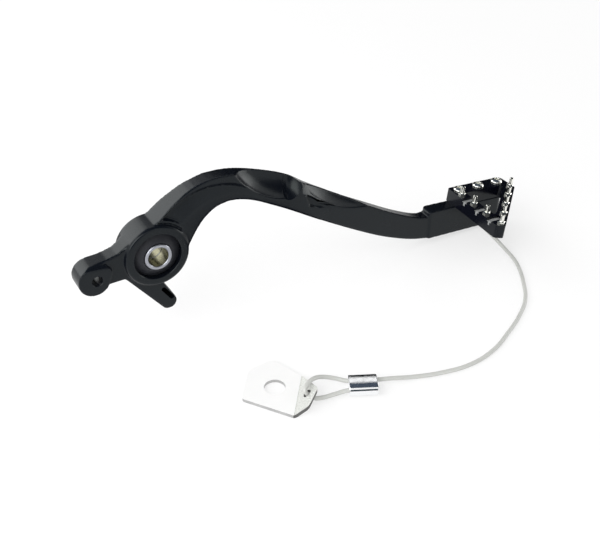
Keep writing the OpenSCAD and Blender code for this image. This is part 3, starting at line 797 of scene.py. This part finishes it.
# studio: pale floor, three soft boxes, dark cards and a white surround
studio = {
    "floor": -59, "below": 0.1,  # mm, the CAD's own floor and the gap under it
    "reach": 6,  # m from the middle to the floor's edge
    "floorColour": (0.93, 0.93, 0.93),
    "floorGlow": 0.6,  # share of plain white in the floor that is seen
    "whiteFrom": (0.4, 1.4),  # m from the pivot, over which that share grows to all of it
    "surround": 0.73,  # how much light the white surround gives
    "aim": (0.1, -0.01, -0.02),  # m, what lamps and cards face
    # degrees from +Y towards +X and up, metres away, width and height, radiance
    "boxes": {
        "leftBox": {"side": -27, "up": 23, "away": 1.3, "size": (1.0, 0.84), "glow": 2.15},
        "sideBox": {"side": -112, "up": 36, "away": 1.1, "size": (1.0, 0.9), "glow": 3.1},
        "rightBox": {"side": 98, "up": 6, "away": 1.1, "size": (0.7, 0.24), "glow": 2.8},
    },
    "cards": {
        "backCard": {
            "side": 38, "up": 16, "away": 0.47, "size": (0.8, 0.46), "tone": (0.008, 0.009, 0.01),
        },
        "topCard": {
            "side": 36, "up": 88, "away": 0.9, "size": (1.5, 1.5), "tone": (0.05, 0.065, 0.09),
        },
        "lowCard": {
            "side": -90, "up": -80, "away": 0.033, "size": (0.17, 0.075),
            "tone": (0.012, 0.012, 0.016),
        },
        "sideCard": {
            "side": 131, "up": 30, "away": 0.9, "size": (0.7, 0.68), "tone": (0.008, 0.009, 0.01),
        },
        "frontCard": {
            "side": 206, "up": 12, "away": 1.1, "size": (1.0, 0.5), "tone": (0.03, 0.04, 0.05),
        },
    },
}


def stageObject(name, mesh, material):
    mesh.materials.append(material)
    thing = bpy.data.objects.new(name, mesh)
    scene.collection.objects.link(thing)
    return thing


def flatSheet(name, half):
    bm = bmesh.new()
    bmesh.ops.create_grid(bm, x_segments=1, y_segments=1, size=half)
    mesh = bpy.data.meshes.new(name)
    bm.to_mesh(mesh)
    bm.free()
    return mesh


def paperMaterial(name, colour, gloss):
    material, _, shader = newMaterial(name)
    shader.inputs["Base Color"].default_value = (*colour, 1)
    shader.inputs["Roughness"].default_value = gloss
    shader.inputs["Specular IOR Level"].default_value = 0.1
    return material


def seenRay(tree):
    # 1 for what the camera sees, straight or mirrored, 0 for light that falls on the pedal
    path = addNode(tree, "ShaderNodeLightPath")
    seen = path.outputs["Is Camera Ray"]
    for other in ("Is Glossy Ray", "Is Transmission Ray"):
        both = {0: seen, 1: path.outputs[other]}
        seen = addNode(tree, "ShaderNodeMath", both, operation="MAXIMUM").outputs[0]
    return seen


def makeFloor(s):
    paper = paperMaterial("paperFloor", s["floorColour"], 0.9)
    tree = paper.node_tree
    glow = addNode(tree, "ShaderNodeEmission", {"Color": (1, 1, 1, 1), "Strength": 1.0})
    # far away the paper is plain white, so that no horizon shows
    place = addNode(tree, "ShaderNodeTexCoord").outputs["Object"]
    away = addNode(tree, "ShaderNodeVectorMath", {0: place}, operation="LENGTH").outputs["Value"]
    share = spread(tree, away, s["floorGlow"], 1.0, *s["whiteFrom"])
    factors = {0: share, 1: seenRay(tree)}
    share = addNode(tree, "ShaderNodeMath", factors, operation="MULTIPLY").outputs[0]
    both = addNode(tree, "ShaderNodeMixShader", {0: share})
    tree.links.new(tree.nodes["Principled BSDF"].outputs["BSDF"], both.inputs[1])
    tree.links.new(glow.outputs["Emission"], both.inputs[2])
    tree.links.new(both.outputs["Shader"], tree.nodes["Material Output"].inputs["Surface"])
    floor = stageObject("studioFloor", flatSheet("studioFloor", s["reach"]), paper)
    floor.location.z = (s["floor"] - s["below"]) * mm


def aimed(thing, aim):
    side, up = radians(thing["side"]), radians(thing["up"])
    toward = Vector((sin(side) * cos(up), cos(side) * cos(up), sin(up)))
    facing = toward.to_track_quat("Z", "Y").to_matrix().to_4x4()
    return Matrix.Translation(Vector(aim) + toward * thing["away"]) @ facing


def makeBox(name, box, aim):
    data = bpy.data.lights.new(name, "AREA")
    w, h = box["size"]
    data.shape, data.size, data.size_y = "RECTANGLE", w, h
    data.energy = box["glow"] * pi * w * h
    lamp = bpy.data.objects.new(name, data)
    scene.collection.objects.link(lamp)
    lamp.matrix_world = aimed(box, aim)


def makeCard(name, card, aim):
    # dark cards are there only for what the metal mirrors
    sheet = stageObject(name, flatSheet(name, 0.5), paperMaterial(name, card["tone"], 1))
    w, h = card["size"]
    sheet.matrix_world = aimed(card, aim) @ Matrix.Diagonal((w, h, 1, 1))
    sheet.visible_camera = sheet.visible_diffuse = sheet.visible_shadow = False


def makeSurround(s):
    world = bpy.data.worlds.new("studioSurround")
    scene.world = world
    world.use_nodes = True
    tree = world.node_tree
    strength = spread(tree, seenRay(tree), s["surround"], 1.0, 0, 1)
    surround = tree.nodes["Background"]
    surround.inputs["Color"].default_value = (1, 1, 1, 1)
    tree.links.new(strength, surround.inputs["Strength"])


makeFloor(studio)
for name, box in studio["boxes"].items():
    makeBox(name, box, studio["aim"])
for name, card in studio["cards"].items():
    makeCard(name, card, studio["aim"])
makeSurround(studio)
scene.view_settings.view_transform = "Standard"
print("studio set")
